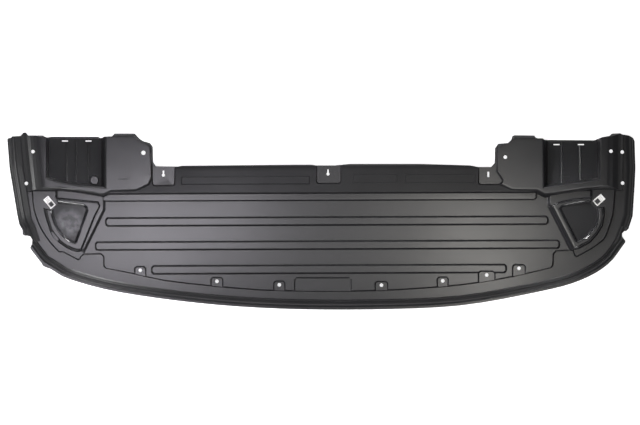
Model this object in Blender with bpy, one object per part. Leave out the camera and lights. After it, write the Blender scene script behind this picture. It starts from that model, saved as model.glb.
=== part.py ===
"""Air deflector that closes the underside of a car's front bumper.

One moulded sheet carries everything: a ribbed centre field, a stepped rear strip, two raised rear
corners with duct scoops, two curved corner ridges round sunken pans, a turned-down front lip and
side flanges, and the holes for its clips. Two small paper labels are stuck beside the ridges.

The sheet is made the way its mould is made. An upper die and a lower die have the same pressed
features, one wall thickness apart, and the sheet is the space between them. X runs across the car,
-Y is the front lip and +Z is up. The sheet lies on its lip and on the two duct mouths.
"""

import math
from collections import namedtuple

import bmesh
import bpy
from mathutils import Vector

MM = 0.001

# The sheet and its levels, each the height of the upper surface over the floor
SHEET = 0.003
LAND_LEVEL = SHEET
FRONT_LEVEL = 0.026
FIELD_LEVEL = 0.034
STEP_LEVEL = 0.040
REAR_LEVEL = 0.050
REAR_FALL = 0.008
EAR_LEVEL = 0.054
RIDGE_LEVEL = 0.047
POD_LEVEL = 0.041
POCKET_LEVEL = 0.030
BAY_LEVEL = 0.030
BOSS_LEVEL = 0.037
KEYHOLE_BAY_LEVEL = 0.040
SIDE_LAND_LEVEL = 0.006

# Where the two wings and the rear strip stand, in plan
LEFT_WING_X = -0.428
RIGHT_WING_X = 0.442
REAR_STRIP_Y = 0.068
REAR_EDGE_Y = 0.150

# Long ribs of the centre field
RIB_WIDTH = 0.0250
RIB_HEIGHT = 0.006
RIB_PITCH = 0.0612
RIB_RUN = 0.005
RIB_SLANT = 0.004
STEP_WIDTH = 0.021

# Horizontal runs of the drafted walls
STEP_RUN = 0.004
STRIP_RUN = 0.007
STRIP_ROLL = 0.020
EAR_FRONT_RUN = 0.016
EAR_ROLL = 0.016
LEFT_SHOULDER_RUN = 0.056
RIGHT_SHOULDER_RUN = 0.048
POD_RUN = 0.008
RIDGE_RUN = 0.009
RIDGE_END_RUN = 0.004
RIDGE_ROLL = 0.018
PAN_RUN = 0.0085
PAN_MOUTH_RUN = 0.001
POCKET_RUN = 0.0025
BAY_RUN = 0.004
KEYHOLE_BAY_RUN = 0.005
BAR_RUN = 0.003
PLAQUE_RUN = 0.001
DUCT_RUN = 0.009
DUCT_ROLL = 0.014
DUCT_RIB_RUN = 0.003
BOSS_RUN = 0.003

# Depths and heights of the smaller features
PAN_DEPTH = 0.0125
PAN_TILT = 0.008
PANEL_RECESS = 0.003
BAR_HEIGHT = 0.003
PLAQUE_HEIGHT = 0.0012
BOSS_DIAMETER = 0.025
DIMPLE_HEIGHT = 0.0015
DIMPLE_DIAMETER = 0.009

# The duct scoops, which fall from their front wall to a flange at the mouth
DUCT_FRONT_Y = 0.085
LEFT_DUCT_MOUTH_Y = 0.215
RIGHT_DUCT_MOUTH_Y = 0.206
DUCT_FRONT_LEVEL = 0.034
DUCT_FLANGE = 0.004
DUCT_RIB_HEIGHT = 0.002
DUCT_RIB_WIDTH = 0.008
DUCT_RIB_SETBACK = 0.003
DUCT_DASH_Y = 0.114
DASH_SIZE = (0.016, 0.004)

# The turned-down lip and the side flanges: widths from the edge inwards of the land, the wall,
# the bead and the upper wall, and on the flanges of the shoulder, with the levels between them
LIP_RADIUS = 0.002
LIP_WIDTHS = (0.008, 0.005, 0.007, 0.004)
LIP_BEAD_LEVELS = (0.015, 0.016)
LEFT_FLANGE_WIDTHS = (0.005, 0.004, 0.007, 0.004, 0.014)
RIGHT_FLANGE_WIDTHS = (0.003, 0.003, 0.004, 0.003, 0.009)
FLANGE_BEAD_LEVELS = (0.014, 0.016, 0.021)

# Holes and slots
CLIP_HOLE = 0.009
LARGE_HOLE = 0.0108
BAY_BACK = 0.0115
KEYHOLE_HEAD = 0.0078
KEYHOLE_NECK = 0.0036
KEYHOLE_LENGTH = 0.0155
STUD_SLOT_SIZE = (0.0045, 0.0135)
DUCT_SLOT_SIZE = (0.0155, 0.0028)
DUCT_SLOT_INSET = 0.011
HOLE_SIDES = 20

# Paper labels
LABEL_THICKNESS = 0.0003
LABEL_GAP = 0.0003
LABEL_CORNER = 0.0012
LEFT_LABEL_SIZE = (0.0305, 0.0165)
RIGHT_LABEL_SIZE = (0.0280, 0.0180)
LEFT_LABEL_ANGLE = math.radians(-50)
RIGHT_LABEL_ANGLE = math.radians(41)

# Colours as linear values, and roughness
PLASTIC_BLACK = (0.014, 0.014, 0.016)
PLASTIC_ROUGHNESS = 0.45
PAPER_WHITE = (0.85, 0.85, 0.84)
PAPER_ROUGHNESS = 0.6

# Reach of the dies beyond the sheet, above, below and all round
SKY = 0.120
GROUND = -0.060
MARGIN = 0.030

# How far a raised detail is rooted in the face below it, and a flange in its scoop
DETAIL_ROOT = 0.001
BOSS_ROOT = 0.004
FLANGE_ROOT = 0.001

# Points nearer than this are one, and a turn below this sine takes the mean of two steps
WELD = 0.00001
SHALLOW_TURN = 0.4
FLAT_ANGLE = math.radians(0.05)
SHARP_ANGLE = math.radians(30)

# Radii of the corners in plan, and the most that a cut may take of the side beside it
CORNER_RADIUS = 0.006
EDGE_CORNER_RADIUS = 0.005
ROUNDED_TURN = math.radians(60)
CORNER_SHARE = 0.45
SECTION_SHARE = 0.3

# How a wall climbs: shares of its run and of its rise, from the rim to the face
STRAIGHT = ((1.0, 1.0),)
SOFT = ((0.25, 0.10), (0.75, 0.90), (1.0, 1.0))
CREST_STEPS = 7
CREST_POWER = 2.4
CREST_SHARES = [step / CREST_STEPS for step in range(1, CREST_STEPS + 1)]
ROUNDED = tuple((share, 1 - (1 - share) ** CREST_POWER) for share in CREST_SHARES)
ROUNDED_DOWN = tuple((share, share ** CREST_POWER) for share in CREST_SHARES)

# One pressed feature: loops in plan, their wall runs, the levels at the rim and on the face
Press = namedtuple("Press", "name up loops runs rim face shape both")


def left(x, y):
    """A point of the left wing, in millimetres from the wing's inner end."""
    return Vector((LEFT_WING_X + x * MM, y * MM))


def right(x, y):
    """A point of the right wing, in millimetres from the wing's inner end."""
    return Vector((RIGHT_WING_X + x * MM, y * MM))


def mid(x, y):
    """A point between the wings, in millimetres from the part's origin."""
    return Vector((x * MM, y * MM))


def smooth(keys, steps=3):
    """A round stretch through the key points, as a Catmull-Rom curve."""
    padded = [2 * keys[0] - keys[1]] + list(keys) + [2 * keys[-1] - keys[-2]]
    points = []
    for i in range(1, len(padded) - 2):
        before, start, end, after = padded[i - 1:i + 3]
        for step in range(steps):
            t = step / steps
            points.append(0.5 * (2 * start + (end - before) * t
                                 + (2 * before - 5 * start + 4 * end - after) * t ** 2
                                 + (3 * start - before - 3 * end + after) * t ** 3))
    points.append(keys[-1])
    return points


def rectangle(x_low, x_high, y_low, y_high):
    """A loop of four plan points in metres, counterclockwise."""
    return [Vector((x_low, y_low)), Vector((x_high, y_low)),
            Vector((x_high, y_high)), Vector((x_low, y_high))]


def slot(centre, size):
    """A rectangular loop of a size along X and along Y, round a centre."""
    return rectangle(centre.x - size[0] / 2, centre.x + size[0] / 2,
                     centre.y - size[1] / 2, centre.y + size[1] / 2)


def circle(centre, diameter):
    """A loop round a centre, counterclockwise."""
    turns = [2 * math.pi * i / HOLE_SIDES for i in range(HOLE_SIDES)]
    return [centre + Vector((math.cos(a), math.sin(a))) * diameter / 2 for a in turns]


def rounded(loop, radius):
    """A loop with each of its sharp corners cut, so that it turns in two smaller ones."""
    points = []
    for i, corner in enumerate(loop):
        before = loop[i - 1] - corner
        after = loop[(i + 1) % len(loop)] - corner
        if math.pi - before.angle(after) < ROUNDED_TURN:
            points.append(corner)
            continue
        cut = min(radius, CORNER_SHARE * before.length, CORNER_SHARE * after.length)
        points += [corner + before.normalized() * cut, corner + after.normalized() * cut]
    return points


def chamfered(section):
    """A section with each of its inner corners cut, so that it bends in two small turns."""
    points = [section[0]]
    for before, corner, after in zip(section, section[1:], section[2:]):
        for end in (before, after):
            share = min(SECTION_SHARE, LIP_RADIUS / (end - corner).length)
            points.append(corner.lerp(end, share))
    return points + [section[-1]]


def offset_corner(corner, before, after, step_before, step_after):
    """Where a corner goes when the lines before and after it move to their left."""
    normal_before = Vector((before.y - corner.y, corner.x - before.x)).normalized()
    normal_after = Vector((corner.y - after.y, after.x - corner.x)).normalized()
    cross = normal_before.cross(normal_after)
    if abs(cross) < SHALLOW_TURN:
        mitre = (normal_before + normal_after) / (1 + normal_before.dot(normal_after))
        return corner + mitre * (step_before + step_after) / 2
    x = (step_before * normal_after.y - step_after * normal_before.y) / cross
    y = (step_after * normal_before.x - step_before * normal_after.x) / cross
    return corner + Vector((x, y))


def offset_loop(points, steps):
    """A counterclockwise loop with each side moved inwards by its own step."""
    count = len(points)
    return [offset_corner(points[i], points[i - 1], points[(i + 1) % count], steps[i - 1], steps[i])
            for i in range(count)]


def level_at(level, point):
    """A level is a height, or a function of the plan point where the face is tilted."""
    return level(point) if callable(level) else level


def strip_level(point):
    """The rear strip falls a little towards its rear edge."""
    share = (point.y - REAR_STRIP_Y) / (REAR_EDGE_Y - REAR_STRIP_Y)
    return REAR_LEVEL - REAR_FALL * share


def raised(level, height):
    """A level that lies a height above another."""
    return lambda point: level_at(level, point) + height


def start_scene():
    """An empty scene with one collection for the parts and one for the cutters."""
    for item in list(bpy.data.objects):
        bpy.data.objects.remove(item)
    for name in ("bumper_air_deflector", "cutters"):
        collection = bpy.data.collections.new(name)
        bpy.context.scene.collection.children.link(collection)


def add_object(name, mesh, collection="cutters"):
    """A mesh object in a collection; a cutter shows as wire and never renders."""
    item = bpy.data.objects.new(name, mesh)
    bpy.data.collections[collection].objects.link(item)
    if collection == "cutters":
        item.hide_render = True
        item.display_type = "WIRE"
    return item


def make_material(name, colour, roughness):
    """A plain Principled material of a thing that isn't metal."""
    material = bpy.data.materials.new(name)
    material.use_nodes = True
    shader = material.node_tree.nodes["Principled BSDF"]
    shader.inputs["Base Color"].default_value = (*colour, 1.0)
    shader.inputs["Roughness"].default_value = roughness
    shader.inputs["Metallic"].default_value = 0.0
    return material


def extrude_cap(bm, cap, loop, heights, keep=False):
    """Extrudes the cap of a die and sets the new cap on a loop at its heights."""
    made = bmesh.ops.extrude_face_region(bm, geom=[cap])["geom"]
    new_cap = next(item for item in made if isinstance(item, bmesh.types.BMFace))
    if not keep:
        bm.faces.remove(cap)
    for vert, point, height in zip(new_cap.verts, loop, heights):
        vert.co = (point.x, point.y, height)
    return new_cap


def add_die(bm, loop, runs, press, gap):
    """One solid whose capped end presses a feature, a gap below the upper surface."""
    side = 1 if press.up else -1
    root = GROUND if press.up else SKY
    centre = sum(loop, Vector((0, 0))) / len(loop)
    rise = abs(level_at(press.face, centre) - level_at(press.rim, centre))
    growth = [side * gap * math.tan(math.atan2(rise, run) / 2) for run in runs]
    outer = offset_loop(loop, growth)
    cap = bm.faces.new([bm.verts.new((p.x, p.y, root)) for p in outer])
    rims = [level_at(press.rim, p) - gap for p in outer]
    cap = extrude_cap(bm, cap, outer, rims, keep=True)
    for run_share, rise_share in press.shape:
        inner = offset_loop(outer, [run * run_share for run in runs])
        heights = []
        for point, rim in zip(inner, rims):
            face = level_at(press.face, point) - gap
            heights.append(rim + (face - rim) * rise_share)
        cap = extrude_cap(bm, cap, inner, heights)


def make_die(name, press, gap):
    """The die of one press as a closed object, with a solid for each of its loops."""
    bm = bmesh.new()
    for loop in press.loops:
        runs = press.runs if isinstance(press.runs, (list, tuple)) else [press.runs] * len(loop)
        add_die(bm, loop, runs, press, gap)
    bmesh.ops.recalc_face_normals(bm, faces=bm.faces)
    mesh = bpy.data.meshes.new(name)
    bm.to_mesh(mesh)
    bm.free()
    return add_object(name, mesh)


def make_prism(name, loops, low, high):
    """Flat outlines given a height, from 2D curves made into one closed mesh."""
    curve = bpy.data.curves.new(name, "CURVE")
    curve.dimensions = "2D"
    curve.fill_mode = "BOTH"
    curve.extrude = (high - low) / 2
    for loop in loops:
        spline = curve.splines.new("POLY")
        spline.points.add(len(loop) - 1)
        for knot, point in zip(spline.points, loop):
            knot.co = (point.x, point.y, 0, 1)
        spline.use_cyclic_u = True
    item = add_object(f"{name}_curve", curve)
    item.location.z = (high + low) / 2
    return mesh_from_curve(item, name)


def mesh_from_curve(item, name):
    """Turns a curve object into a closed mesh object in the same place."""
    bpy.context.view_layer.update()
    graph = bpy.context.evaluated_depsgraph_get()
    mesh = bpy.data.meshes.new_from_object(item.evaluated_get(graph))
    mesh.transform(item.matrix_world)
    bpy.data.objects.remove(item)
    bm = bmesh.new()
    bm.from_mesh(mesh)
    bmesh.ops.remove_doubles(bm, verts=bm.verts, dist=WELD)
    bmesh.ops.recalc_face_normals(bm, faces=bm.faces)
    bm.to_mesh(mesh)
    bm.free()
    return add_object(name, mesh)


def make_sweep(name, path, profile, gap):
    """A cutter swept along a path; the profile gives distances inwards and levels.

    Its ends lie a gap further out, so that a wall is left between the two dies there too.
    """
    lower = [profile[0] - Vector((0, gap))]
    for before, corner, after in zip(profile, profile[1:], profile[2:]):
        lower.append(offset_corner(corner, before, after, -gap, -gap))
    section = lower + [Vector((lower[-1].x, SKY)), Vector((lower[0].x, SKY))]
    path = [path[0] + (path[0] - path[1]).normalized() * gap, *path[1:-1],
            path[-1] + (path[-1] - path[-2]).normalized() * gap]
    curves = []
    for suffix, points, closed in (("section", section, True), ("path", path, False)):
        curve = bpy.data.curves.new(f"{name}_{suffix}", "CURVE")
        curve.dimensions = "2D"
        spline = curve.splines.new("POLY")
        spline.points.add(len(points) - 1)
        for knot, point in zip(spline.points, points):
            knot.co = (point.x, point.y, 0, 1)
        spline.use_cyclic_u = closed
        curves.append(add_object(curve.name, curve))
    section_object, path_object = curves
    path_object.data.bevel_mode = "OBJECT"
    path_object.data.bevel_object = section_object
    path_object.data.use_fill_caps = True
    sweep = mesh_from_curve(path_object, name)
    bpy.data.objects.remove(section_object)
    return sweep


def is_closed(mesh):
    """Whether each edge of a mesh joins exactly two faces."""
    bm = bmesh.new()
    bm.from_mesh(mesh)
    closed = bool(bm.edges) and all(len(edge.link_faces) == 2 for edge in bm.edges)
    bm.free()
    return closed


def combine(target, tool, operation):
    """Joins a tool to the target, or cuts it out, and keeps the result as a mesh."""
    modifier = target.modifiers.new(tool.name, "BOOLEAN")
    modifier.operation = operation
    modifier.object = tool
    for solver in ("EXACT", "MANIFOLD"):
        modifier.solver = solver
        bpy.context.view_layer.update()
        graph = bpy.context.evaluated_depsgraph_get()
        mesh = bpy.data.meshes.new_from_object(target.evaluated_get(graph))
        if is_closed(mesh):
            break
    target.modifiers.clear()
    target.data = mesh


def front_keys():
    """Key points of the front edge, from the left corner to the right."""
    return [left(-263, -121), left(-212, -148), left(-85, -181), left(119, -209), mid(-105, -223),
            mid(124, -225), right(-89, -215), right(115, -179), right(217, -151), right(288, -110),
            right(333, -53)]


def left_side_keys():
    """Key points of the left side, from the notch to the rear."""
    return [left(-333, -23), left(-341, -9), left(-346, 13), left(-356, 74), left(-366, 135),
            left(-372.3, 213)]


def right_side_keys():
    """Key points of the right side, from the rear to the notch."""
    return [right(356, 204), right(358, 135), right(356, 90), right(351, 13), right(339, -24)]


def panel_outline():
    """The sheet's edge seen from above, counterclockwise from the left front corner."""
    right_notch = [right(329, -26), right(324, -31), right(324, -39), right(332, -49)]
    right_rear = [right(352, 212), right(342, 218), right(324, 221), right(319, 224),
                  right(298, 223), right(291, 217), right(273, 214), right(253, 206),
                  right(125, 207), right(123, 211), right(104, 211), right(100, 218),
                  right(49, 219), right(44, 216), right(41, 207), right(33, 199),
                  right(8, 197), right(0, 186), right(-1, 148)]
    middle_rear = [right(-10, 138), right(-43, 138), right(-63, 142), right(-191, 146),
                   mid(73, 146), mid(35, 142), mid(-14, 142), mid(-24, 144), mid(-54, 144),
                   left(73, 141), left(63, 139)]
    left_rear = [left(7, 140), left(0, 151), left(-1, 189), left(-8, 199), left(-24, 203),
                 left(-34, 209), left(-47, 223), left(-98, 223), left(-105, 216),
                 left(-126, 215), left(-132, 210), left(-141, 215), left(-258, 215),
                 left(-271, 213), left(-281, 218), left(-318, 218), left(-327, 229.3),
                 left(-338, 217), left(-359, 216), left(-364, 210)]
    left_notch = [left(-333, -33), left(-329, -37), left(-321, -37), left(-313, -39),
                  left(-308, -48), left(-309, -58), left(-314, -68)]
    left_corner = [left(-309, -76), left(-284, -108), left(-281, -114), left(-273, -118)]
    edge = (smooth(front_keys(), 4) + right_notch[::-1] + right_side_keys()[::-1] + right_rear
            + middle_rear + left_rear + left_side_keys()[::-1] + left_notch + left_corner)
    return rounded(edge, EDGE_CORNER_RADIUS)


def field_press():
    """The centre field and the floors of the corner pods, one step above the front band."""
    left_edge = smooth([left(-309, 95), left(-309, 69), left(-307, 41), left(-299, 8),
                        left(-284, -25), left(-263, -56), left(-240, -80)], 2)
    left_corner = [left(-230, -80), left(-186, -103), left(-182, -86), left(-128, -85)]
    front = smooth([left(-127, -121), left(-51, -135), left(30, -153), left(143, -166),
                    mid(-182, -175), mid(-90, -179), mid(78, -180), mid(200, -176),
                    right(-118, -167), right(-43, -158), right(44, -143), right(149, -119)], 2)
    right_corner = [right(151, -78), right(186, -76), right(197, -73), right(204, -95)]
    right_edge = smooth([right(247, -71), right(278, -48), right(291, -20), right(302, 16),
                         right(305, 44), right(309, 95)], 2)
    loop = rounded(left_edge + left_corner + front + right_corner + right_edge, CORNER_RADIUS)
    return Press("field", True, [loop], STEP_RUN, FRONT_LEVEL, FIELD_LEVEL, SOFT, True)


def slanted_strip(x_low, x_high, y_low, y_high):
    """A long strip across the car, which lies a touch out of square as the ribs do."""
    loop = rectangle(x_low, x_high, y_low, y_high)
    return [point + Vector((0, RIB_SLANT * point.x)) for point in loop]


def step_press():
    """The half step between the field and the rear strip."""
    loop = slanted_strip(left(-134, 0).x, right(107, 0).x,
                         REAR_STRIP_Y - STEP_WIDTH + STEP_RUN, REAR_STRIP_Y + MARGIN)
    return Press("half_step", True, [rounded(loop, CORNER_RADIUS)], STEP_RUN, FIELD_LEVEL,
                 STEP_LEVEL, SOFT, True)


def strip_press():
    """The rear strip between the raised corners, rolled down at its rear edge."""
    loop = slanted_strip(left(-120, 0).x, right(100, 0).x, REAR_STRIP_Y, REAR_EDGE_Y)
    runs = [STRIP_RUN, STRIP_RUN, STRIP_ROLL, STRIP_RUN]
    return Press("rear_strip", True, [loop], runs, FIELD_LEVEL, strip_level, ROUNDED, True)


def ear_presses():
    """The raised rear corners, with soft shoulders to the sides and to the rear."""
    left_loop = [left(-322, 74), left(-238, 73), left(-187, 67), left(-126, 56), left(-105, 66),
                 left(-40, 68), left(-4, 86), left(8, 112), left(4, 196), left(-46, 228),
                 left(-339, 228)]
    left_runs = [EAR_FRONT_RUN] * 5 + [EAR_ROLL] * 5 + [LEFT_SHOULDER_RUN]
    right_loop = [right(40, 69), right(105, 68), right(126, 57), right(166, 64), right(217, 72),
                  right(268, 78), right(326, 77), right(328, 226), right(44, 224),
                  right(-4, 196), right(-8, 112), right(4, 87)]
    right_runs = [EAR_FRONT_RUN] * 6 + [RIGHT_SHOULDER_RUN] + [EAR_ROLL] * 5
    return [Press("left_ear", True, [left_loop], left_runs, FRONT_LEVEL, EAR_LEVEL, ROUNDED, True),
            Press("right_ear", True, [right_loop], right_runs, FRONT_LEVEL, EAR_LEVEL, ROUNDED,
                  True)]


def pod_presses():
    """The low platforms of the two corners, a step above the field along a slanting edge."""
    left_loop = [left(-250, 84), left(-250, 62), left(-243, 46), left(-215, -30), left(-196, -66),
                 left(-175, -83), left(-121, 28), left(-121, 84)]
    right_loop = [right(133, 44), right(198, -70), right(212, -62), right(240, -30),
                  right(243, 46), right(249, 62), right(249, 84), right(133, 84)]
    return [Press("left_pod", True, [left_loop], POD_RUN, FIELD_LEVEL, POD_LEVEL, SOFT, True),
            Press("right_pod", True, [right_loop], POD_RUN, FIELD_LEVEL, POD_LEVEL, SOFT, True)]


def ridge_presses():
    """The rounded ridges round the corner pans, each open at the corner that bears its label."""
    left_loop = [left(-280, 33), left(-271, -2), left(-264, -24), left(-256, -40), left(-242, -54),
                 left(-222, -68), left(-207, -75), left(-192, -79), left(-179, -76),
                 left(-144, 12), left(-131, 39), left(-137, 53), left(-250, 64), left(-243, 46),
                 left(-256, 29)]
    left_runs = [RIDGE_RUN] * 12 + [RIDGE_END_RUN] * 3
    right_loop = [right(133, 38), right(191, -76), right(214, -71), right(243, -55),
                  right(262, -34), right(275, -12), right(280, 15), right(279, 37),
                  right(257, 33), right(243, 46), right(249, 66), right(197, 60), right(160, 52)]
    right_runs = [RIDGE_ROLL] + [RIDGE_RUN] * 6 + [RIDGE_END_RUN] * 3 + [RIDGE_RUN] * 3
    return [Press("left_ridge", True, [left_loop], left_runs, FIELD_LEVEL, RIDGE_LEVEL, ROUNDED,
                  True),
            Press("right_ridge", True, [right_loop], right_runs, FIELD_LEVEL, RIDGE_LEVEL, ROUNDED,
                  True)]


def pan_level(deep, shallow):
    """The tilted floor of a pan, deep at one place along X and shallow at another."""
    slope = PAN_TILT / (shallow.x - deep.x)
    return lambda point: RIDGE_LEVEL - PAN_DEPTH + slope * (point.x - deep.x)


def pan_presses():
    """The sunken pans inside the ridges, deepest on their outer sides and open at the labels."""
    left_loop = [left(-262, 33), left(-262, 14), left(-254.5, -8), left(-243, -29),
                 left(-230, -43), left(-214, -54.5), left(-200, -60), left(-193, -57),
                 left(-180, -20), left(-163, 27), left(-165, 38), left(-176, 46), left(-247, 54)]
    left_runs = [PAN_RUN] * 12 + [PAN_MOUTH_RUN]
    right_loop = [right(159, 33), right(203, -53), right(211, -57), right(235, -45),
                  right(252.5, -26), right(263.5, -7.5), right(267.8, 15), right(267, 35),
                  right(247, 56), right(198, 50), right(167, 43)]
    right_runs = [PAN_RUN] * 7 + [PAN_MOUTH_RUN] + [PAN_RUN] * 3
    left_floor = pan_level(left(-250, 0), left(-160, 0))
    right_floor = pan_level(right(258, 0), right(174, 0))
    return [Press("left_pan", False, [left_loop], left_runs, RIDGE_LEVEL, left_floor,
                  ROUNDED_DOWN, True),
            Press("right_pan", False, [right_loop], right_runs, RIDGE_LEVEL, right_floor,
                  ROUNDED_DOWN, True)]


def corner_detail_presses():
    """The narrow pocket outside the left ridge and the low dimple outside the right one."""
    pocket = [left(-263, -26), left(-257, -41), left(-244, -55), left(-237, -46), left(-255, -24)]
    dimple = circle(right(230, -68), DIMPLE_DIAMETER)
    return [Press("left_pocket", False, [pocket], POCKET_RUN, RIDGE_LEVEL, POCKET_LEVEL,
                  STRAIGHT, True),
            Press("right_dimple", True, [dimple], PLAQUE_RUN, FIELD_LEVEL - DETAIL_ROOT,
                  FIELD_LEVEL + DIMPLE_HEIGHT, STRAIGHT, False)]


def rib_press():
    """Three long ribs across the field at one pitch."""
    ends = ((left(-123, 0), right(137, 0)), (left(-149, 0), right(166, 0)),
            (left(-6, 0), right(31, 0)))
    loops = []
    for index, (start, end) in enumerate(ends):
        centre = -index * RIB_PITCH
        rib = slanted_strip(start.x, end.x, centre - RIB_WIDTH / 2, centre + RIB_WIDTH / 2)
        loops.append(rounded(rib, CORNER_RADIUS))
    face = FIELD_LEVEL + RIB_HEIGHT
    return Press("ribs", True, loops, RIB_RUN, FIELD_LEVEL, face, SOFT, True)


def front_clips():
    """Places of the front row of clip holes, and the widths of their bays."""
    return ((left(-33, -125), 0.032), (left(162, -153), 0.034), (mid(-107, -162), 0.032),
            (mid(153, -163), 0.036), (right(-133, -152), 0.032), (right(-21, -137), 0.046),
            (right(61, -120), 0.036))


def bay_press():
    """The bays round the front clip holes, which step down to the front band."""
    loops = [rounded(rectangle(hole.x - width / 2, hole.x + width / 2, hole.y - MARGIN,
                               hole.y + BAY_BACK), CORNER_RADIUS)
             for hole, width in front_clips()]
    return Press("clip_bays", False, loops, BAY_RUN, FIELD_LEVEL, BAY_LEVEL, SOFT, True)


def recess_press():
    """The shallow square recess in the middle of the field's front."""
    loop = rounded([mid(-70, -205), mid(78, -205), mid(78, -142), mid(-70, -142)], CORNER_RADIUS)
    face = FIELD_LEVEL - PANEL_RECESS
    return Press("middle_recess", False, [loop], BAY_RUN, FIELD_LEVEL, face, SOFT, True)


def keyholes():
    """Heads of the keyhole slots in the rear strip."""
    return (left(26, 117), mid(17, 120))


def keyhole_bay_press():
    """The sunken bays round the stud slots, open to the rear edge."""
    loops = [[left(-5, 87), left(58, 87), left(60, 180), left(-7, 180)],
             [mid(-16, 93), mid(53, 93), mid(53, 180), mid(-16, 180)],
             [right(-45, 90), right(10, 90), right(25, 101), right(7, 128), right(7, 180),
              right(-45, 180)]]
    return Press("keyhole_bays", False, [rounded(loop, CORNER_RADIUS) for loop in loops],
                 KEYHOLE_BAY_RUN, REAR_LEVEL, KEYHOLE_BAY_LEVEL, SOFT, True)


def strip_detail_presses():
    """The long bar and the two bare plaques on the rear strip, and the dash on the left ear."""
    bar = [left(70, 92), mid(-29, 93), mid(-29, 115), left(70, 114)]
    plaques = [[mid(81, 97), mid(193, 97), mid(193, 120), mid(81, 120)],
               [mid(213, 97), right(-50, 97), right(-50, 120), mid(213, 120)]]
    dash = [left(-88, 105), left(-62, 105), left(-62, 109), left(-88, 109)]
    root = raised(strip_level, -DETAIL_ROOT)
    return [Press("rear_bar", True, [bar], BAR_RUN, root, raised(strip_level, BAR_HEIGHT),
                  SOFT, True),
            Press("plaques", True, plaques, PLAQUE_RUN, root, raised(strip_level, PLAQUE_HEIGHT),
                  STRAIGHT, False),
            Press("ear_dash", True, [dash], PLAQUE_RUN, EAR_LEVEL - DETAIL_ROOT,
                  EAR_LEVEL + PLAQUE_HEIGHT, STRAIGHT, False)]


def duct_level(mouth_y):
    """The floor of a duct scoop, falling from its front wall to the flange at its mouth."""
    flange_y = mouth_y - DUCT_FLANGE
    slope = (DUCT_FRONT_LEVEL - LAND_LEVEL) / (flange_y - DUCT_FRONT_Y)
    return lambda point: max(LAND_LEVEL, LAND_LEVEL + slope * (flange_y - point.y))


def duct_presses(name, front_loop, side_runs, mouth_y, rib_xs):
    """One duct scoop: a sloping floor, a flat flange at the mouth and ribs along the floor.

    The side runs are those of its right and of its left wall.
    """
    flange_y = mouth_y - DUCT_FLANGE
    floor = duct_level(mouth_y)
    x_low = front_loop[0].x
    x_high = front_loop[-1].x
    scoop = front_loop + [Vector((x_high, flange_y)), Vector((x_low, flange_y))]
    right_run, left_run = side_runs
    scoop_runs = [DUCT_RUN] * (len(front_loop) - 1) + [right_run, 0.0, left_run]
    flange = rectangle(x_low, x_high, flange_y - FLANGE_ROOT, mouth_y + MARGIN)
    ribs = [rectangle(x - DUCT_RIB_WIDTH / 2, x + DUCT_RIB_WIDTH / 2,
                      DUCT_FRONT_Y + DUCT_RIB_SETBACK, flange_y - FLANGE_ROOT)
            for x in rib_xs]
    return [Press(f"{name}_scoop", False, [scoop], scoop_runs, EAR_LEVEL, floor, ROUNDED_DOWN,
                  True),
            Press(f"{name}_flange", False, [flange], [0.0, right_run, 0.0, left_run], EAR_LEVEL,
                  LAND_LEVEL, ROUNDED_DOWN, True),
            Press(f"{name}_ribs", True, ribs, DUCT_RIB_RUN, raised(floor, -DETAIL_ROOT),
                  raised(floor, DUCT_RIB_HEIGHT), STRAIGHT, False)]


def left_duct():
    """The left duct scoop, with the round boss in its corner, which has a level top."""
    front = [left(-275, 107), left(-238, 95), left(-187, 87), left(-118, 82)]
    rib_xs = [left(x, 0).x for x in (-220, -197, -166)]
    floor = duct_level(LEFT_DUCT_MOUTH_Y)
    boss = circle(left(-150, 104), BOSS_DIAMETER)
    return duct_presses("left_duct", front, (DUCT_ROLL, DUCT_RUN), LEFT_DUCT_MOUTH_Y, rib_xs) + [
        Press("boss", True, [boss], BOSS_RUN, raised(floor, -BOSS_ROOT), BOSS_LEVEL, STRAIGHT,
              True)]


def right_duct():
    """The right duct scoop."""
    front = [right(120, 82), right(166, 88), right(217, 95), right(270, 103)]
    rib_xs = [right(x, 0).x for x in (170, 217)]
    floor = duct_level(RIGHT_DUCT_MOUTH_Y)
    dashes = [slot(Vector((right(x, 0).x, DUCT_DASH_Y)), DASH_SIZE) for x in (182, 237)]
    return duct_presses("right_duct", front, (DUCT_RUN, DUCT_ROLL), RIGHT_DUCT_MOUTH_Y, rib_xs) + [
        Press("duct_dashes", True, dashes, PLAQUE_RUN, raised(floor, -DETAIL_ROOT),
              raised(floor, PLAQUE_HEIGHT), STRAIGHT, False)]


def presses():
    """Every pressed feature in the order in which it shapes the sheet."""
    return ([field_press(), step_press(), strip_press()] + pod_presses() + ridge_presses()
            + pan_presses() + corner_detail_presses() + ear_presses()
            + [rib_press(), bay_press(), recess_press()] + strip_detail_presses()
            + [keyhole_bay_press()] + left_duct() + right_duct())


def edge_section(widths, levels):
    """The section of a lip or flange, from outside the edge to well inside the front band."""
    section = [Vector((-MARGIN, levels[0]))]
    reach = 0.0
    for width, level in zip(widths, levels):
        reach += width
        section.append(Vector((reach, level)))
    section.append(Vector((reach + MARGIN / 2, levels[-1])))
    return chamfered(section)


def lip_section():
    """The front lip: a low land, a wall up to the bead and a wall up to the front band."""
    return edge_section(LIP_WIDTHS, (LAND_LEVEL, *LIP_BEAD_LEVELS, FRONT_LEVEL))


def flange_section(widths):
    """A side flange: as the lip, with a shoulder above its bead."""
    return edge_section(widths, (SIDE_LAND_LEVEL, *FLANGE_BEAD_LEVELS, FRONT_LEVEL))


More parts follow.
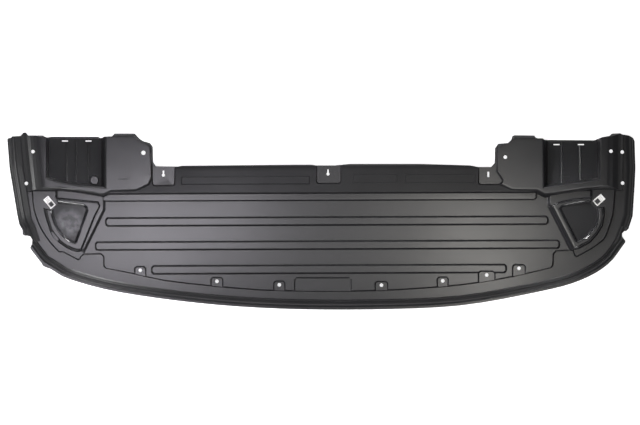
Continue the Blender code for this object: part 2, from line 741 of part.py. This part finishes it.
def lip_sweeps(name, gap):
    """Cutters for the turned-down front lip with its bead, and for the two side flanges."""
    front_path = ([right(345, -20)] + smooth(front_keys(), 4)[::-1]
                  + [left(-284, -108), left(-299, -89), left(-316, -66), left(-340, -36)])
    left_path = [left(-322, -60)] + left_side_keys() + [left(-377, 260)]
    right_path = [right(354, 260)] + right_side_keys() + [right(325, -60)]
    return [make_sweep(f"{name}_front_lip", front_path, lip_section(), gap),
            make_sweep(f"{name}_left_flange", left_path, flange_section(LEFT_FLANGE_WIDTHS), gap),
            make_sweep(f"{name}_right_flange", right_path, flange_section(RIGHT_FLANGE_WIDTHS),
                       gap)]


def make_terrain(name, gap):
    """One die: the surface of the sheet, a gap below its upper side, as a solid block."""
    edge = panel_outline()
    x_low = min(p.x for p in edge) - MARGIN
    x_high = max(p.x for p in edge) + MARGIN
    y_low = min(p.y for p in edge) - MARGIN
    y_high = max(p.y for p in edge) + MARGIN
    block = make_prism(name, [rectangle(x_low, x_high, y_low, y_high)], GROUND, FRONT_LEVEL - gap)
    for press in presses():
        if gap and not press.both:
            continue
        die = make_die(f"{name}_{press.name}", press, gap)
        combine(block, die, "UNION" if press.up else "DIFFERENCE")
    for sweep in lip_sweeps(name, gap):
        combine(block, sweep, "DIFFERENCE")
    return block


def hole_loops():
    """Clip holes, keyhole slots, the plain stud slot and the duct slots, as flat outlines."""
    places = [hole for hole, width in front_clips()]
    places += [left(-306, 177), left(-323, 96), right(26, 163), right(295, 178), right(324, 176),
               right(325, 97)]
    loops = [circle(place, CLIP_HOLE) for place in places]
    loops.append(circle(left(-25, 174), LARGE_HOLE))
    loops += [keyhole(head) for head in keyholes()]
    loops.append(slot(right(-17, 119), STUD_SLOT_SIZE))
    for x, mouth_y in ((left(-225, 0).x, LEFT_DUCT_MOUTH_Y), (left(-165, 0).x, LEFT_DUCT_MOUTH_Y),
                       (right(157, 0).x, RIGHT_DUCT_MOUTH_Y),
                       (right(219, 0).x, RIGHT_DUCT_MOUTH_Y)):
        loops.append(slot(Vector((x, mouth_y - DUCT_SLOT_INSET)), DUCT_SLOT_SIZE))
    return loops


def keyhole(head):
    """A slot with a round head and a narrow neck towards the rear."""
    half_neck = KEYHOLE_NECK / 2
    start = math.asin(half_neck / (KEYHOLE_HEAD / 2))
    turns = [math.pi / 2 + start + (2 * math.pi - 2 * start) * i / HOLE_SIDES
             for i in range(HOLE_SIDES + 1)]
    points = [head + Vector((math.cos(a), math.sin(a))) * KEYHOLE_HEAD / 2 for a in turns]
    end = head.y + KEYHOLE_LENGTH - KEYHOLE_HEAD / 2
    return points + [Vector((head.x + half_neck, end)), Vector((head.x - half_neck, end))]


def tidy_mesh(item):
    """Takes the joints that the cuts leave in flat faces out of the mesh."""
    bm = bmesh.new()
    bm.from_mesh(item.data)
    bmesh.ops.remove_doubles(bm, verts=bm.verts, dist=WELD)
    bmesh.ops.dissolve_degenerate(bm, edges=bm.edges, dist=WELD)
    bmesh.ops.dissolve_limit(bm, angle_limit=FLAT_ANGLE, verts=bm.verts, edges=bm.edges)
    bm.to_mesh(item.data)
    bm.free()


def make_panel():
    """The moulded sheet: what lies between the two dies, inside its outline, with its holes."""
    panel = make_terrain("deflector_panel", 0.0)
    lower_die = make_terrain("lower_die", SHEET)
    combine(panel, lower_die, "DIFFERENCE")
    combine(panel, make_prism("outline", [panel_outline()], GROUND / 2, SKY), "INTERSECT")
    combine(panel, make_prism("holes", hole_loops(), GROUND / 2, SKY), "DIFFERENCE")
    tidy_mesh(panel)
    cutters = bpy.data.collections["cutters"]
    bpy.data.collections["bumper_air_deflector"].objects.link(panel)
    cutters.objects.unlink(panel)
    panel.hide_render = False
    panel.display_type = "TEXTURED"
    panel.data.materials.clear()
    panel.data.materials.append(make_material("black_moulded_plastic", PLASTIC_BLACK,
                                              PLASTIC_ROUGHNESS))
    panel.data.shade_smooth()
    panel.data.set_sharp_from_angle(angle=SHARP_ANGLE)
    return panel


def make_label(name, centre, size, angle):
    """A small paper label with round corners, lying flat at the open corner of a ridge."""
    bm = bmesh.new()
    bmesh.ops.create_cube(bm, size=1.0)
    bmesh.ops.scale(bm, vec=(size[0], size[1], LABEL_THICKNESS), verts=bm.verts)
    upright = [edge for edge in bm.edges if edge.verts[0].co.z * edge.verts[1].co.z < 0]
    bmesh.ops.bevel(bm, geom=upright, offset=LABEL_CORNER, affect="EDGES", segments=3, profile=0.5,
                    material=-1)
    mesh = bpy.data.meshes.new(name)
    bm.to_mesh(mesh)
    bm.free()
    label = add_object(name, mesh, "bumper_air_deflector")
    label.location = (centre.x, centre.y, FIELD_LEVEL + LABEL_GAP + LABEL_THICKNESS / 2)
    label.rotation_euler.z = angle
    mesh.materials.append(make_material(f"{name}_paper", PAPER_WHITE, PAPER_ROUGHNESS))
    return label


def main():
    """Builds the sheet and its labels."""
    start_scene()
    make_panel()
    make_label("label_left", left(-264, 48), LEFT_LABEL_SIZE, LEFT_LABEL_ANGLE)
    make_label("label_right", right(265, 54), RIGHT_LABEL_SIZE, RIGHT_LABEL_ANGLE)


main()
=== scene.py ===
"""Looks of a bumper air deflector: one moulded black plastic sheet with two paper labels."""

import math
from collections import namedtuple

import bmesh
import bpy
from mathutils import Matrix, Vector


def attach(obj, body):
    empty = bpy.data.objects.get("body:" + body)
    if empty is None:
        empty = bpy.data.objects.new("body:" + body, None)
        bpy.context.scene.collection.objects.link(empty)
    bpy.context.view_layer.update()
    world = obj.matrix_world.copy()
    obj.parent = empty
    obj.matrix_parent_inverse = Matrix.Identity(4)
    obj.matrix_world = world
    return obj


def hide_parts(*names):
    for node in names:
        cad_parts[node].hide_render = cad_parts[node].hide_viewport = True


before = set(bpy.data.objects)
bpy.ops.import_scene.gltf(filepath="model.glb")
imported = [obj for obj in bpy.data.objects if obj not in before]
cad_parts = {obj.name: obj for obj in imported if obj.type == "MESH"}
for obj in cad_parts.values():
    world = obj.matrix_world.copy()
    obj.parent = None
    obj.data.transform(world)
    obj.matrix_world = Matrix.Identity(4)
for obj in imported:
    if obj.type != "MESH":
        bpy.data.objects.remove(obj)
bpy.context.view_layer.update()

MM = 0.001

# The photograph's frame, and where the part's origin falls in it
PHOTO_WIDTH = 640
PHOTO_HEIGHT = 425
METRES_PER_PIXEL = 0.0025474
ORIGIN_PIXEL = (321.35, 221.15)
CAMERA_HEIGHT = 50.0
SENSOR_WIDTH = 36.0

# Shading of the sheet
JOINT = 0.01 * MM
FLAT_ANGLE = math.radians(0.05)
SHARP_ANGLE = math.radians(14)

# The floor, just under the part, and how much it glows for the camera
FLOOR_SIZE = 12.0
FLOOR_Z = -0.5 * MM
FLOOR_COLOUR = "#F4F4F4"
FLOOR_GLOW = 0.85

PLASTIC_BLACK = "#1F1F21"
PLASTIC_GREYED = "#262628"
SCUFF_GREY = "#4A4A4C"
# The next grey is painted light: the lighter pool on the left pan's floor
PAINTED_LIGHT_GREY = "#6E6E72"
PAPER_WHITE = "#F4F4F2"
PAPER_GREY = "#BDBDBB"
PRINT_BLACK = "#2A2A2C"

# Where the ridges' crests lie: between two heights and up to one Y. A crest's gloss starts and is
# full where the Z of the surface's normal has these values.
CREST_LOW = 0.042
CREST_HIGH = 0.0475
CREST_REAR = 0.066
CREST_STARTS = 0.985
CREST_FULL = 0.95

# The middle of the painted pool of light on the left pan's floor, and how far it reaches
PAINTED_LIGHT_PLACE = (-0.642, -0.004, 0.036)
PAINTED_LIGHT_RADIUS = 0.040

# Soft patches on a surface: their real size in millimetres, the noise values between which they
# fade in, the least that they show, and how many octaves their noise has and how rough it is
Patches = namedtuple("Patches", "size low high least detail roughness", defaults=(0.0, 3.0, 0.5))
HANDLED = Patches(140, 0.2, 0.8, detail=2.0)
# The next patches are the blotches of the painted pool of light on the left pan's floor
PAINTED_LIGHT_BLOTCHES = Patches(16, 0.35, 0.65, least=0.15)
SCUFFS = Patches(24, 0.68, 0.76, detail=6.0, roughness=0.7)

# Reliefs of a surface: their real width and depth in millimetres, and the octaves of their noise.
# The grain and the paper's fibre are so fine that they show in close views alone.
Relief = namedtuple("Relief", "width depth detail")
WAVER = Relief(70, 0.35, 2.0)
GRAIN = Relief(0.6, 0.004, 2.0)
FIBRE = Relief(0.8, 0.01, 3.0)

# How the scuffs' pattern is turned, how much thinner than long they are and how they show
SCUFF_TURN = (0, 0, 0.5)
SCUFF_STRETCH = (1.0, 9.0, 1.0)
SCUFF_TINT = 0.35

# How rough the moulded surface is, and what each mark on it adds
MOULDED_ROUGHNESS = 0.27
HANDLED_ADDS = 0.05
SCUFF_ADDS = 0.06
CREST_ADDS = -0.19

# Sockets of the Mix node where it mixes colours
MIX_SHARE = 0
MIX_FIRST = 6
MIX_SECOND = 7
MIX_RESULT = 2

# Softboxes: where each hangs, what it looks at, its size, its power, its colour and how many
# degrees wide its light spreads
Softbox = namedtuple("Softbox", "name place target size power colour spread", defaults=(180,))
SOFTBOXES = (
    Softbox("over_left_wing", (-0.664, -0.061, 1.1), (-0.65, -0.06, 0), (0.24, 0.24), 1.9, "#FAF6FF"),
    Softbox("over_left_shoulder", (-0.429, -0.031, 1.1), (-0.42, -0.03, 0), (0.18, 0.18), 2.0, "#FAF6FF"),
    Softbox("over_left_field", (-0.245, 0.051, 1.1), (-0.24, 0.05, 0), (0.30, 0.20), 1.45, "#FAF6FF"),
    Softbox("over_middle", (0.02, -0.061, 1.1), (0.02, -0.06, 0), (0.40, 0.24), 0.7, "#FFFFFF"),
    Softbox("over_right_field", (0.266, 0.051, 1.1), (0.26, 0.05, 0), (0.30, 0.20), 0.65, "#FFFCF6"),
    Softbox("over_right_wing", (0.43, -0.092, 1.1), (0.42, -0.09, 0), (0.24, 0.16), 2.1, "#FFFCF6"),
    Softbox("over_right_tip", (0.715, -0.102, 1.1), (0.70, -0.10, 0), (0.20, 0.20), 0.2, "#FFFCF6"),
    Softbox("front_left", (-0.97, -1.45, 0.8), (-0.39, 0, 0), (0.3, 0.2), 7.0, "#FFFFFF"),
    Softbox("front_left_low", (-1.0, -1.7, 0.6), (-0.4, 0, 0), (0.3, 0.2), 4.5, "#FFFFFF"),
    Softbox("front_right", (0.93, -1.30, 0.95), (0.37, 0, 0), (0.3, 0.2), 3.6, "#FFFFFF"),
    Softbox("front_right_low", (1.0, -1.7, 0.6), (0.4, 0, 0), (0.3, 0.2), 1.9, "#FFFFFF"),
    Softbox("side_left", (-1.6, -0.1, 1.1), (-0.64, 0, 0), (0.3, 0.3), 1.0, "#FFFFFF"),
    Softbox("side_left_low", (-1.9, -0.1, 0.6), (-0.76, 0, 0), (0.2, 0.2), 2.6, "#FFFFFF"),
    Softbox("side_right", (1.6, -0.1, 1.1), (0.64, 0, 0), (0.3, 0.3), 0.4, "#FFFFFF"),
    Softbox("rear_low", (0.0, 1.8, 0.6), (0, 0, 0), (1.0, 0.3), 5.0, "#FFFFFF"),
    Softbox("rear_left", (-0.9, 1.2, 0.9), (-0.36, 0, 0), (0.3, 0.3), 3.5, "#FFFFFF"),
    Softbox("rear_right", (0.9, 1.2, 0.9), (0.36, 0, 0), (0.3, 0.3), 1.2, "#FFFFFF"),
    Softbox("left_crest", (-0.25, 0.55, 0.45), (-0.655, 0, 0.04), (0.1, 0.1), 0.08, "#FFFFFF", 24),
    Softbox("right_crest", (0.25, 0.55, 0.45), (0.655, 0, 0.04), (0.1, 0.1), 0.12, "#FFFFFF", 24),
    Softbox("rear_steep", (0.0, 0.75, 1.2), (0, 0, 0), (1.0, 0.3), 0.5, "#FFFFFF"),
)
ROOM_LIGHT = 0.10

# How far each label is turned
LEFT_LABEL_TURN = math.radians(-50)
RIGHT_LABEL_TURN = math.radians(41)

# Printed fields of each label in shares of its length and width, from its middle:
# low and high along the length, low and high along the width, and the colour
LEFT_PRINT = ((-0.02, 0.44, -0.40, 0.40, PAPER_GREY), (0.04, 0.39, -0.29, 0.29, PRINT_BLACK),
              (-0.42, -0.36, -0.34, 0.34, PAPER_GREY), (-0.28, -0.23, -0.34, 0.20, PAPER_GREY),
              (-0.16, -0.11, -0.34, 0.28, PAPER_GREY))
RIGHT_PRINT = ((-0.44, 0.06, -0.40, 0.40, PAPER_GREY), (-0.39, 0.01, -0.30, 0.30, PRINT_BLACK),
               (0.12, 0.17, -0.38, 0.38, PAPER_GREY), (0.27, 0.31, -0.30, 0.22, PAPER_GREY))


def linear(hex_colour):
    """A linear RGBA colour from an sRGB hex value."""
    channels = [int(hex_colour[i:i + 2], 16) / 255 for i in (1, 3, 5)]
    return [c / 12.92 if c <= 0.04045 else ((c + 0.055) / 1.055) ** 2.4 for c in channels] + [1.0]


def per_size(millimetres):
    """The scale of a pattern in object space whose features are this large."""
    return 1 / (millimetres * MM)


def new_material(name):
    """An empty node material and its tree."""
    material = bpy.data.materials.new(name)
    material.use_nodes = True
    material.node_tree.nodes.clear()
    return material, material.node_tree


def add_node(tree, kind, inputs=None, **settings):
    """Adds a node, sets its properties, and sets each named input or links it to a socket."""
    node = tree.nodes.new(kind)
    for name, value in settings.items():
        setattr(node, name, value)
    for name, value in (inputs or {}).items():
        if isinstance(value, bpy.types.NodeSocket):
            tree.links.new(value, node.inputs[name])
        else:
            node.inputs[name].default_value = value
    return node


def add_patches(tree, place, patches):
    """Soft patches, as a share that runs up to 1."""
    noise = add_node(tree, "ShaderNodeTexNoise", {
        "Vector": place, "Scale": per_size(patches.size), "Detail": patches.detail,
        "Roughness": patches.roughness}).outputs["Fac"]
    return add_node(tree, "ShaderNodeMapRange", {
        "Value": noise, "From Min": patches.low, "From Max": patches.high,
        "To Min": patches.least}).outputs["Result"]


def add_relief(tree, place, relief, under=None):
    """The normal of a surface with a relief, over an earlier relief if there is one."""
    noise = add_node(tree, "ShaderNodeTexNoise", {
        "Vector": place, "Scale": per_size(relief.width), "Detail": relief.detail}).outputs["Fac"]
    inputs = {"Height": noise, "Distance": relief.depth * MM}
    if under:
        inputs["Normal"] = under
    return add_node(tree, "ShaderNodeBump", inputs).outputs["Normal"]


def add_layers(tree, colour, layers):
    """A linear colour with other colours over it, each as strong as its share."""
    for share, hex_colour in layers:
        mix = add_node(tree, "ShaderNodeMix", {MIX_SHARE: share, MIX_FIRST: colour,
                                               MIX_SECOND: linear(hex_colour)}, data_type="RGBA")
        colour = mix.outputs[MIX_RESULT]
    return colour


def finish_material(tree, **inputs):
    """Ends a material in one Principled shader with the given inputs."""
    named = {name.replace("_", " "): value for name, value in inputs.items()}
    shader = add_node(tree, "ShaderNodeBsdfPrincipled", named)
    add_node(tree, "ShaderNodeOutputMaterial", {"Surface": shader.outputs["BSDF"]})


def crest_share(tree, place):
    """Where the rolled crests of the two ridges are, from 0 to 1."""
    where = add_node(tree, "ShaderNodeSeparateXYZ", {"Vector": place}).outputs
    facing = add_node(tree, "ShaderNodeNewGeometry").outputs["Normal"]
    upward = add_node(tree, "ShaderNodeSeparateXYZ", {"Vector": facing}).outputs["Z"]
    share = 1
    for value, outside, inside in ((upward, CREST_STARTS, CREST_FULL),
                                   (where["Z"], CREST_LOW, CREST_LOW + MM),
                                   (where["Z"], CREST_HIGH + MM, CREST_HIGH),
                                   (where["Y"], CREST_REAR + MM, CREST_REAR)):
        within = add_node(tree, "ShaderNodeMapRange", {"Value": value, "From Min": outside,
                                                       "From Max": inside}).outputs["Result"]
        share = add_node(tree, "ShaderNodeMath", {0: share, 1: within},
                         operation="MULTIPLY").outputs["Value"]
    return share


def painted_light_share(tree, place):
    """Where the painted pool of light on the left pan's floor is, as lighter grey blotches, from 0 to 1.
    """
    distance = add_node(tree, "ShaderNodeVectorMath", {0: place, 1: PAINTED_LIGHT_PLACE},
                        operation="DISTANCE").outputs["Value"]
    near = add_node(tree, "ShaderNodeMapRange", {"Value": distance, "From Min": PAINTED_LIGHT_RADIUS,
                                                 "From Max": PAINTED_LIGHT_RADIUS / 2}).outputs["Result"]
    blotches = add_patches(tree, place, PAINTED_LIGHT_BLOTCHES)
    return add_node(tree, "ShaderNodeMath", {0: near, 1: blotches},
                    operation="MULTIPLY").outputs["Value"]


def moulded_polypropylene():
    """Black polypropylene as it leaves the mould: satin, with a fine even grain.

    The eye sees broad soft reflections that waver a little, thin bright lines along the ridges'
    crests, where the mould was smoother, faintly greyer and duller patches where the sheet was
    handled, a painted pool of light in lighter grey blotches on the left pan's floor and a few
    fine scuffs.
    """
    material, tree = new_material("moulded_polypropylene")
    place = add_node(tree, "ShaderNodeTexCoord").outputs["Object"]
    handled = add_patches(tree, place, HANDLED)
    stretched = add_node(tree, "ShaderNodeMapping", {"Vector": place, "Rotation": SCUFF_TURN,
                                                     "Scale": SCUFF_STRETCH}).outputs["Vector"]
    scuffs = add_patches(tree, stretched, SCUFFS)
    faint_scuffs = add_node(tree, "ShaderNodeMath", {0: scuffs, 1: SCUFF_TINT},
                            operation="MULTIPLY").outputs["Value"]
    # One layer is painted light: a lighter grey pool on the left pan's floor
    colour = add_layers(tree, linear(PLASTIC_BLACK), (
        (handled, PLASTIC_GREYED), (painted_light_share(tree, place), PAINTED_LIGHT_GREY), (faint_scuffs, SCUFF_GREY)))
    roughness = MOULDED_ROUGHNESS
    for share, adds in ((handled, HANDLED_ADDS), (scuffs, SCUFF_ADDS),
                        (crest_share(tree, place), CREST_ADDS)):
        roughness = add_node(tree, "ShaderNodeMath", {0: share, 1: adds, 2: roughness},
                             operation="MULTIPLY_ADD").outputs["Value"]
    waver = add_relief(tree, place, WAVER)
    grain = add_relief(tree, place, GRAIN, waver)
    finish_material(tree, Base_Color=colour, Roughness=roughness, IOR=1.49, Normal=grain)
    return material


def printed_paper(name, label, angle, fields):
    """Coated white label paper with printed fields.

    The eye sees a bright matt slip with dark and grey blocks in place of any lettering.
    """
    corners = [vert.co for vert in label.data.vertices]
    axis = Vector((math.cos(angle), math.sin(angle), 0))
    across = Vector((-math.sin(angle), math.cos(angle), 0))
    lengths = [corner.dot(axis) for corner in corners]
    widths = [corner.dot(across) for corner in corners]
    centre = (axis * (max(lengths) + min(lengths)) + across * (max(widths) + min(widths))) / 2
    material, tree = new_material(name)
    place = add_node(tree, "ShaderNodeTexCoord").outputs["Object"]
    shares = add_node(tree, "ShaderNodeMapping", {
        "Vector": place, "Location": centre, "Rotation": (0, 0, angle),
        "Scale": (max(lengths) - min(lengths), max(widths) - min(widths), 1)},
        vector_type="TEXTURE").outputs["Vector"]
    split = add_node(tree, "ShaderNodeSeparateXYZ", {"Vector": shares})
    layers = []
    for low_x, high_x, low_y, high_y, ink in fields:
        along = add_node(tree, "ShaderNodeMath", {0: split.outputs["X"], 1: (low_x + high_x) / 2,
                                                  2: (high_x - low_x) / 2}, operation="COMPARE")
        wide = add_node(tree, "ShaderNodeMath", {0: split.outputs["Y"], 1: (low_y + high_y) / 2,
                                                 2: (high_y - low_y) / 2}, operation="COMPARE")
        inside = add_node(tree, "ShaderNodeMath", {0: along.outputs["Value"],
                                                   1: wide.outputs["Value"]}, operation="MULTIPLY")
        layers.append((inside.outputs["Value"], ink))
    colour = add_layers(tree, linear(PAPER_WHITE), layers)
    fibre = add_relief(tree, place, FIBRE)
    finish_material(tree, Base_Color=colour, Roughness=0.55, IOR=1.45, Normal=fibre)
    return material


def make_sheet():
    """The moulded sheet: its long rolls shade smoothly, its short walls and its flats crisply."""
    bm = bmesh.new()
    bm.from_mesh(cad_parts["deflector_panel"].data)
    bmesh.ops.remove_doubles(bm, verts=bm.verts, dist=JOINT)
    bmesh.ops.dissolve_limit(bm, angle_limit=FLAT_ANGLE, verts=bm.verts, edges=bm.edges)
    mesh = bpy.data.meshes.new("moulded_sheet")
    bm.to_mesh(mesh)
    bm.free()
    mesh.shade_smooth()
    mesh.set_sharp_from_angle(angle=SHARP_ANGLE)
    mesh.materials.append(moulded_polypropylene())
    sheet = bpy.data.objects.new("moulded_sheet", mesh)
    bpy.context.scene.collection.objects.link(sheet)
    evened = sheet.modifiers.new("even_normals", "WEIGHTED_NORMAL")
    evened.keep_sharp = True
    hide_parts("deflector_panel")
    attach(sheet, "root")


def dress_labels():
    """The paper labels keep their solids and take their printed paper."""
    for name, angle, fields in (("label_left", LEFT_LABEL_TURN, LEFT_PRINT),
                                ("label_right", RIGHT_LABEL_TURN, RIGHT_PRINT)):
        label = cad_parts[name]
        label.data.materials.clear()
        label.data.materials.append(printed_paper(f"{name}_paper", label, angle, fields))


def make_floor():
    """A plain pale floor that keeps the part's shadow and shows white to the camera."""
    bpy.ops.mesh.primitive_plane_add(size=FLOOR_SIZE, location=(0, 0, FLOOR_Z))
    floor = bpy.context.object
    floor.name = "floor"
    material, tree = new_material("pale_floor")
    seen = add_node(tree, "ShaderNodeLightPath").outputs["Is Camera Ray"]
    matt = add_node(tree, "ShaderNodeBsdfDiffuse", {"Color": linear(FLOOR_COLOUR)}).outputs["BSDF"]
    glow = add_node(tree, "ShaderNodeEmission", {"Strength": FLOOR_GLOW}).outputs["Emission"]
    both = add_node(tree, "ShaderNodeAddShader", {0: matt, 1: glow}).outputs["Shader"]
    shown = add_node(tree, "ShaderNodeMixShader", {0: seen, 1: matt, 2: both}).outputs["Shader"]
    add_node(tree, "ShaderNodeOutputMaterial", {"Surface": shown})
    floor.data.materials.append(material)


def add_softbox(box):
    """An area light that looks at its target."""
    lamp = bpy.data.lights.new(box.name, "AREA")
    lamp.shape = "RECTANGLE"
    lamp.size, lamp.size_y = box.size
    lamp.energy = box.power
    lamp.color = linear(box.colour)[:3]
    lamp.spread = math.radians(box.spread)
    item = bpy.data.objects.new(box.name, lamp)
    item.location = box.place
    item.rotation_euler = (Vector(box.target) - Vector(box.place)).to_track_quat("-Z", "Y").to_euler()
    bpy.context.scene.collection.objects.link(item)


def light_studio():
    """The softboxes and a dim even room."""
    for box in SOFTBOXES:
        add_softbox(box)
    world = bpy.data.worlds.new("studio")
    world.use_nodes = True
    background = world.node_tree.nodes["Background"]
    background.inputs["Color"].default_value = (1, 1, 1, 1)
    background.inputs["Strength"].default_value = ROOM_LIGHT
    bpy.context.scene.world = world


def place_camera():
    """The photograph's view: straight down from far away, with its frame."""
    data = bpy.data.cameras.new("camera")
    data.sensor_width = SENSOR_WIDTH
    data.lens = SENSOR_WIDTH * CAMERA_HEIGHT / (PHOTO_WIDTH * METRES_PER_PIXEL)
    data.clip_end = 2 * CAMERA_HEIGHT
    camera = bpy.data.objects.new("camera", data)
    camera.location = ((PHOTO_WIDTH / 2 - ORIGIN_PIXEL[0]) * METRES_PER_PIXEL,
                       (ORIGIN_PIXEL[1] - PHOTO_HEIGHT / 2) * METRES_PER_PIXEL, CAMERA_HEIGHT)
    bpy.context.scene.collection.objects.link(camera)
    bpy.context.scene.camera = camera


make_sheet()
dress_labels()
make_floor()
light_studio()
place_camera()
bpy.context.scene.view_settings.view_transform = "Standard"
